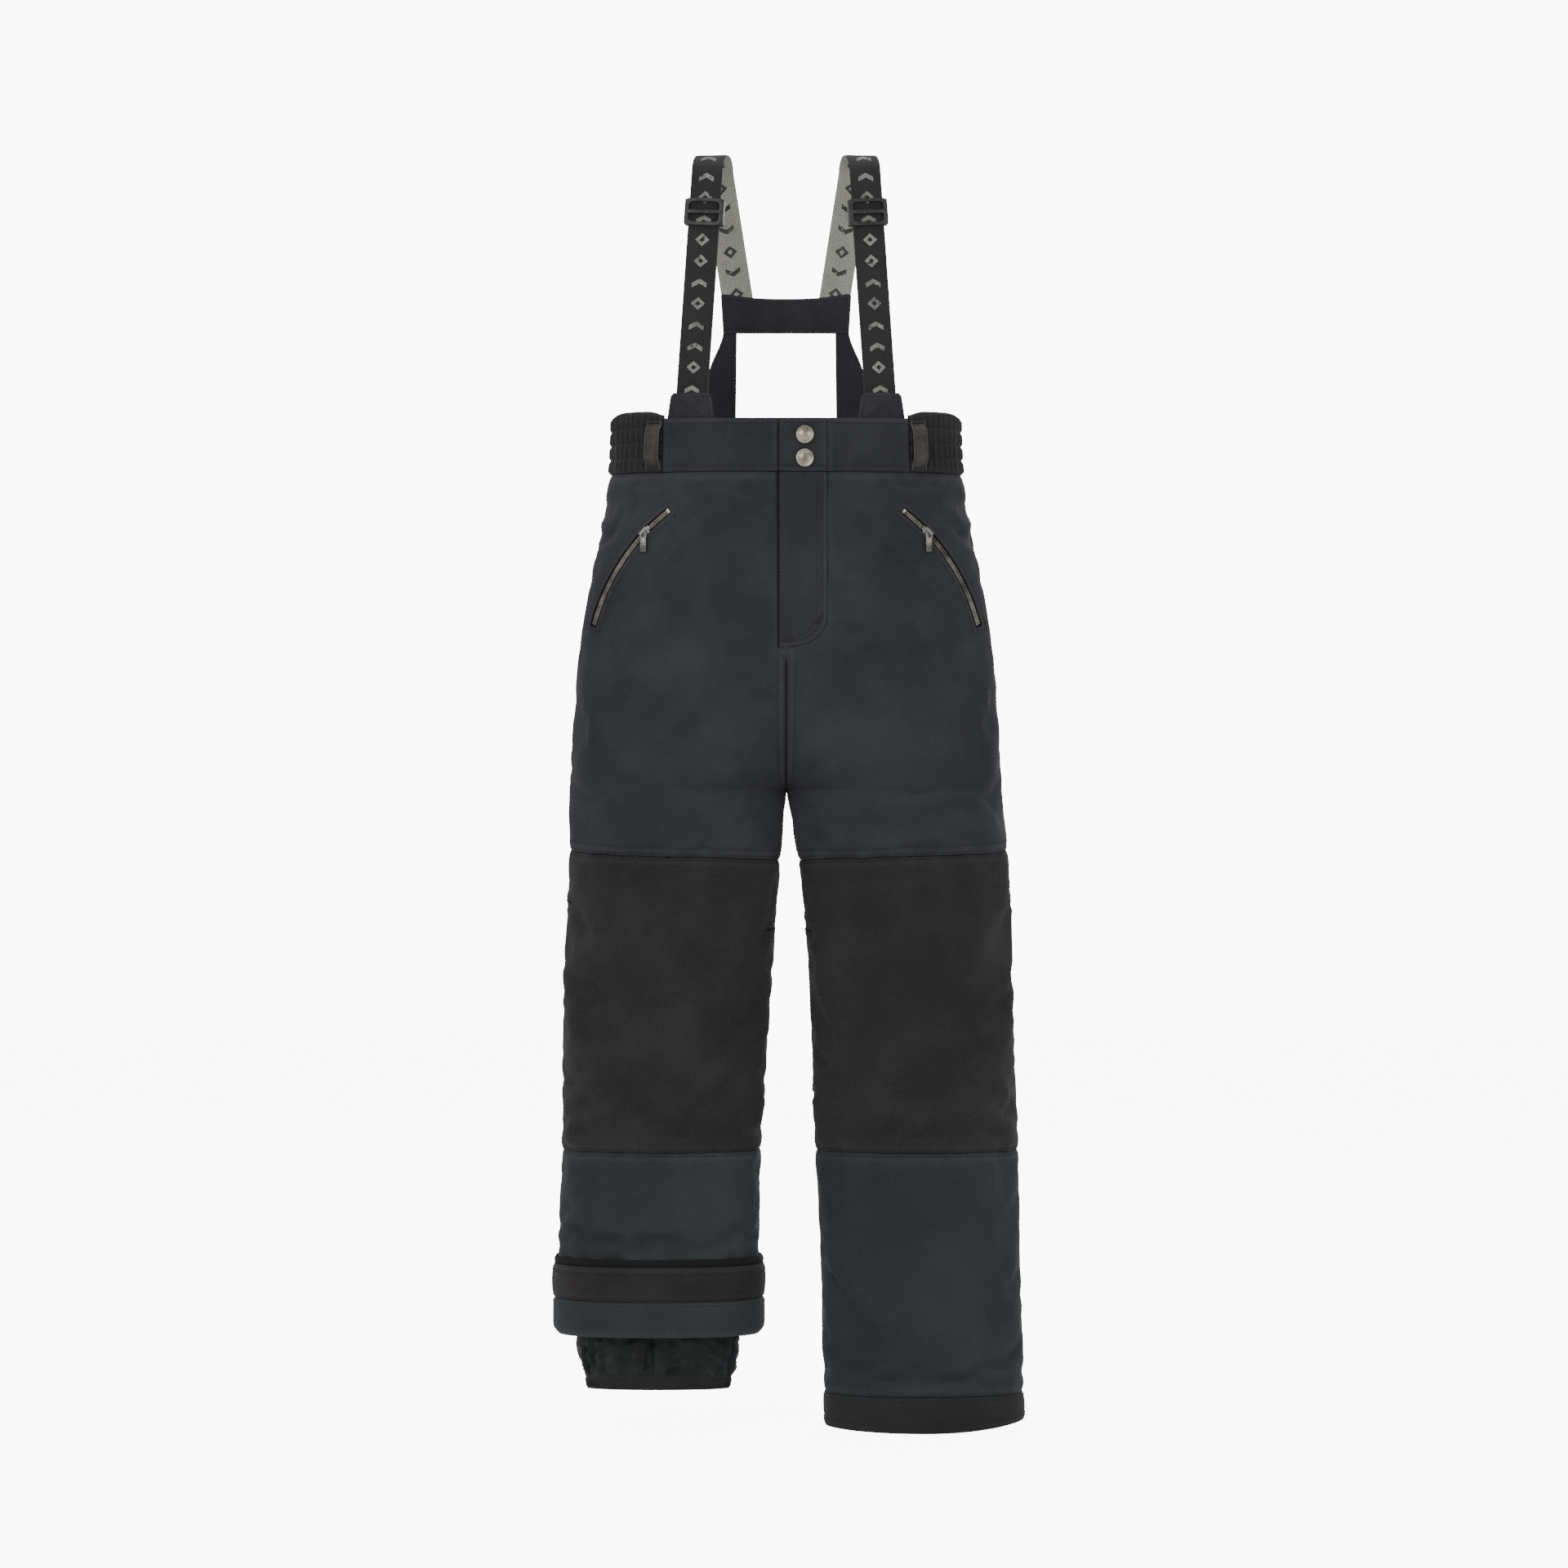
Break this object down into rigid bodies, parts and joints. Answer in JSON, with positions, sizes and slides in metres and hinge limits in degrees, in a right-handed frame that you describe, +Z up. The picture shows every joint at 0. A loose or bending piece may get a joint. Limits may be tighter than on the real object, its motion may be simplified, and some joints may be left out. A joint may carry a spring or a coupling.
{
  "type": "ski pants",
  "caption": "Child's insulated ski pants with shoulder straps, snap fly, zipped pockets, knee patches and snow gaiters, one leg rolled up.",
  "frame": {"origin": "midway between the tops of the two shoulder straps, where the pants hang", "axes": "+Z up, -Y is the front of the pants, +X is the wearer's left"},
  "size_m": [0.4087, 0.123, 1.0991],
  "materials": {
    "shell": "matt charcoal woven nylon",
    "knee_cloth": "matt brown-black reinforced weave",
    "shin_cloth": "matt charcoal woven nylon",
    "lining": "matt quilted lining",
    "gaiter_cloth": "gathered thin nylon",
    "band_cloth": "matt woven nylon",
    "cuff_facing": "matt brown-black facing",
    "webbing": "ribbed black webbing",
    "webbing_reverse": "grey reverse of the webbing",
    "yoke_cloth": "navy woven nylon",
    "zip_coil": "grey nylon coil",
    "zip_metal": "dark plated die-cast",
    "snap_metal": "pewter cap",
    "adjuster_plastic": "black moulded plastic"
  },
  "bodies": {
    "root": {"front_panel_left": "shell", "seat_panel_left": "shell", "pocket_bag_left": "lining", "waistband_front_left": "band_cloth", "side_elastic_left": "band_cloth", "belt_loop_front_left": "band_cloth", "belt_loop_back_left": "band_cloth", "pocket_zip_left": "zip_coil", "shoulder_strap_left": "webbing", "strap_return_left": "webbing_reverse", "strap_tab_left": "yoke_cloth", "back_riser_left": "yoke_cloth", "front_panel_right": "shell", "seat_panel_right": "shell", "pocket_bag_right": "lining", "waistband_front_right": "band_cloth", "side_elastic_right": "band_cloth", "belt_loop_front_right": "band_cloth", "belt_loop_back_right": "band_cloth", "pocket_zip_right": "zip_coil", "shoulder_strap_right": "webbing", "strap_return_right": "webbing_reverse", "strap_tab_right": "yoke_cloth", "back_riser_right": "yoke_cloth", "seat_lining": "lining", "fly_guard": "lining", "waistband_back": "band_cloth", "fly_zip": "zip_coil", "snap_stud_upper": "snap_metal", "snap_stud_lower": "snap_metal", "back_crossbar": "yoke_cloth"},
    "thigh_left": {"knee_panel_left": "knee_cloth", "back_knee_panel_left": "shell", "thigh_lining_left": "lining"},
    "shin_left": {"shin_panel_left": "shin_cloth", "calf_panel_left": "shell", "hem_band_left": "shell", "shin_lining_left": "lining", "snow_gaiter_left": "gaiter_cloth", "gaiter_elastic_left": "gaiter_cloth"},
    "pocket_slider_left": {"pocket_slider_left": "zip_metal"},
    "pocket_pull_left": {"pocket_pull_left": "zip_metal"},
    "adjuster_left": {"adjuster_left": "adjuster_plastic"},
    "thigh_right": {"knee_panel_right": "knee_cloth", "back_knee_panel_right": "shell", "thigh_lining_right": "lining"},
    "shin_right": {"shin_panel_right": "shin_cloth", "calf_panel_right": "shell", "rolled_cuff_right": "cuff_facing", "shin_lining_right": "lining", "snow_gaiter_right": "gaiter_cloth", "gaiter_elastic_right": "gaiter_cloth"},
    "pocket_slider_right": {"pocket_slider_right": "zip_metal"},
    "pocket_pull_right": {"pocket_pull_right": "zip_metal"},
    "adjuster_right": {"adjuster_right": "adjuster_plastic"},
    "fly_flap": {"fly_placket": "shell", "waistband_tab": "band_cloth", "snap_cap_upper": "snap_metal", "snap_cap_lower": "snap_metal"},
    "fly_slider": {"fly_slider": "zip_metal"}
  },
  "joints": [
    {"name": "hip_left", "type": "hinge", "parent": "root", "child": "thigh_left", "pos_m": [0.1, 0, -0.56], "axis": [-1, 0, 0], "range_deg": [-15, 80], "deforming": ["front_panel_left", "seat_panel_left"]},
    {"name": "knee_left", "type": "hinge", "parent": "thigh_left", "child": "shin_left", "pos_m": [0.105, 0, -0.735], "axis": [1, 0, 0], "range_deg": [0, 80], "deforming": ["knee_panel_left", "back_knee_panel_left"]},
    {"name": "pocket_zip_travel_left", "type": "hinge", "parent": "root", "child": "pocket_slider_left", "pos_m": [0.00185, -0.07386, -0.45489], "axis": [-0.294, 0.9558, 0], "range_deg": [-6.5, 27.4]},
    {"name": "pocket_pull_swing_left", "type": "hinge", "parent": "pocket_slider_left", "child": "pocket_pull_left", "pos_m": [0.12204, -0.03835, -0.32849], "axis": [-0.9558, -0.294, 0], "range_deg": [0, 150]},
    {"name": "adjuster_travel_left", "type": "slide", "parent": "root", "child": "adjuster_left", "axis": [-0.0663, 0.0763, 0.9949], "range_m": [-0.13, 0.01]},
    {"name": "hip_right", "type": "hinge", "parent": "root", "child": "thigh_right", "pos_m": [-0.1, 0, -0.56], "axis": [-1, 0, 0], "range_deg": [-15, 80], "deforming": ["front_panel_right", "seat_panel_right"]},
    {"name": "knee_right", "type": "hinge", "parent": "thigh_right", "child": "shin_right", "pos_m": [-0.105, 0, -0.735], "axis": [1, 0, 0], "range_deg": [0, 80], "deforming": ["knee_panel_right", "back_knee_panel_right"]},
    {"name": "pocket_zip_travel_right", "type": "hinge", "parent": "root", "child": "pocket_slider_right", "pos_m": [-0.00185, -0.07386, -0.45489], "axis": [-0.294, -0.9558, 0], "range_deg": [-6.5, 27.4]},
    {"name": "pocket_pull_swing_right", "type": "hinge", "parent": "pocket_slider_right", "child": "pocket_pull_right", "pos_m": [-0.12204, -0.03835, -0.32849], "axis": [-0.9558, 0.294, 0], "range_deg": [0, 150]},
    {"name": "adjuster_travel_right", "type": "slide", "parent": "root", "child": "adjuster_right", "axis": [0.0663, 0.0763, 0.9949], "range_m": [-0.13, 0.01]},
    {"name": "fly_flap_hinge", "type": "hinge", "parent": "root", "child": "fly_flap", "pos_m": [0.0353, -0.0509, -0.231], "axis": [0, 0.0351, 0.9994], "range_deg": [0, 150]},
    {"name": "fly_zip_travel", "type": "slide", "parent": "root", "child": "fly_slider", "axis": [0, -0.032, -0.9995], "range_m": [0, 0.125]}
  ]
}
